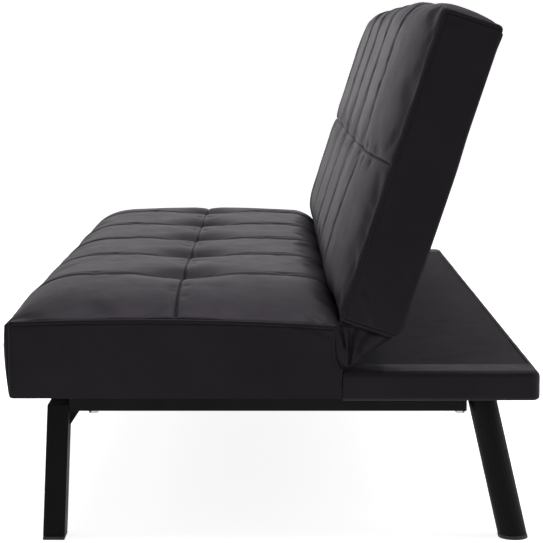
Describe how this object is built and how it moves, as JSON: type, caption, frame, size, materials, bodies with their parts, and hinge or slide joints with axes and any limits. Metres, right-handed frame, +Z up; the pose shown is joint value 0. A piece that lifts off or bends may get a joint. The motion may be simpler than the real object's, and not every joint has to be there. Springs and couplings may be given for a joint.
{
  "type": "click clack sofa bed",
  "caption": "Armless channelled faux-leather sofa bed whose back clicks down over a rear ledge, on splayed black steel legs.",
  "frame": {"origin": "centre of the footprint, on the floor", "axes": "+X along the length, -Y towards the front edge of the seat, +Z up"},
  "size_m": [1.8, 0.846, 0.8547],
  "materials": {
    "leather": "charcoal black grained faux leather, soft satin sheen",
    "ledge_cloth": "matt black lining cloth",
    "lining": "thin black spun cloth",
    "foam": "open-cell foam",
    "timber": "rough sawn board",
    "webbing": "woven elastic strap",
    "black_steel": "fine textured black powder coat",
    "hinge_steel": "zinc-plated pressed steel",
    "foot_plastic": "black moulded plastic"
  },
  "bodies": {
    "base": {"seat_cover": "leather", "ledge_cover": "leather", "rear_skirt": "leather", "seat_end_panel_left": "leather", "seat_end_panel_right": "leather", "gusset_left": "leather", "gusset_right": "leather", "ledge_cloth": "ledge_cloth", "dust_cover": "lining", "seat_foam": "foam", "centre_board": "timber", "front_board": "timber", "seat_rear_board": "timber", "ledge_rear_board": "timber", "ledge_panel": "timber", "side_board_left": "timber", "side_board_right": "timber", "hinge_board_left": "timber", "hinge_board_right": "timber", "seat_webbing": "webbing", "front_cross_tube": "black_steel", "front_leg_left": "black_steel", "front_leg_right": "black_steel", "side_rail_left": "black_steel", "side_rail_right": "black_steel", "leg_gusset_plate_left": "black_steel", "leg_gusset_plate_right": "black_steel", "rear_leg_left": "black_steel", "rear_leg_right": "black_steel", "rear_leg_plate_left": "black_steel", "rear_leg_plate_right": "black_steel", "hinge_bracket_left": "hinge_steel", "hinge_bracket_right": "hinge_steel", "pivot_pin_left": "hinge_steel", "pivot_pin_right": "hinge_steel", "pawl_pin_left": "hinge_steel", "pawl_pin_right": "hinge_steel", "rail_bolt_front_left": "hinge_steel", "rail_bolt_front_right": "hinge_steel", "rail_bolt_rear_left": "hinge_steel", "rail_bolt_rear_right": "hinge_steel", "front_foot_left": "foot_plastic", "front_foot_right": "foot_plastic", "rear_foot_left": "foot_plastic", "rear_foot_right": "foot_plastic"},
    "backrest": {"back_cover": "leather", "back_rear_cover": "leather", "back_end_panel_left": "leather", "back_end_panel_right": "leather", "back_foam": "foam", "back_bottom_rail": "timber", "back_top_rail": "timber", "back_centre_stile": "timber", "back_stile_left": "timber", "back_stile_right": "timber", "hinge_arm_left": "hinge_steel", "hinge_arm_right": "hinge_steel"},
    "pawl_left": {"hinge_pawl_left": "hinge_steel"},
    "pawl_right": {"hinge_pawl_right": "hinge_steel"}
  },
  "joints": [
    {"name": "back_recline", "type": "hinge", "parent": "base", "child": "backrest", "pos_m": [0, 0.13886, 0.342], "axis": [-1, 0, 0], "range_deg": [-6, 71.8], "deforming": ["gusset_left", "gusset_right", "rear_skirt"]},
    {"name": "left_pawl_swing", "type": "hinge", "parent": "base", "child": "pawl_left", "pos_m": [-0.8048, 0.11926, 0.309], "axis": [1, 0, 0], "range_deg": [-1, 8]},
    {"name": "right_pawl_swing", "type": "hinge", "parent": "base", "child": "pawl_right", "pos_m": [0.8048, 0.11926, 0.309], "axis": [1, 0, 0], "range_deg": [-1, 8]}
  ],
  "couplings": [
    {"joint": "left_pawl_swing", "follows": "back_recline", "ratio": 0.0967},
    {"joint": "right_pawl_swing", "follows": "back_recline", "ratio": 0.0967}
  ]
}
